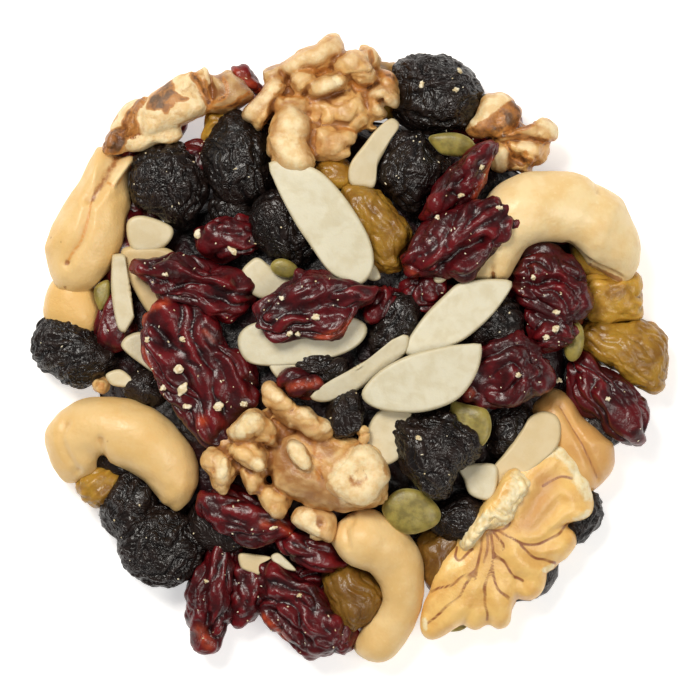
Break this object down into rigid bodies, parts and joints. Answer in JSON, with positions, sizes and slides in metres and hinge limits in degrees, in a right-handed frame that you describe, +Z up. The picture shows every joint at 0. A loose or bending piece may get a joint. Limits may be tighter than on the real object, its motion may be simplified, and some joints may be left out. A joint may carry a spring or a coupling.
{
  "type": "heap of trail mix",
  "caption": "Round low heap of trail mix: cashews, walnut pieces, sliced almonds, pumpkin seeds, golden raisins, dried cranberries and dried dark berries, lying as poured.",
  "frame": {"origin": "middle of the heap's box, on the table it lies on", "axes": "+Z up; +Y to the back, the picture's top edge; +X to the right"},
  "size_m": [0.1026, 0.0998, 0.0233],
  "materials": {
    "trail_mix": "mixed nuts and dried fruit, mostly matte with glossy fruit skins",
    "cashew": "smooth pale cashew, satin",
    "walnut": "golden walnut skin with cream broken faces, satin",
    "almond": "ivory sliced almond, matte",
    "pumpkin_seed": "olive green seed, satin",
    "golden_raisin": "wrinkled amber raisin, half glossy",
    "dried_cranberry": "dark red dried cranberry, glossy folds",
    "dried_berry": "black wrinkled dried berry, half glossy"
  },
  "bodies": {
    "root": {"trail_mix_heap": "trail_mix"}
  },
  "joints": []
}
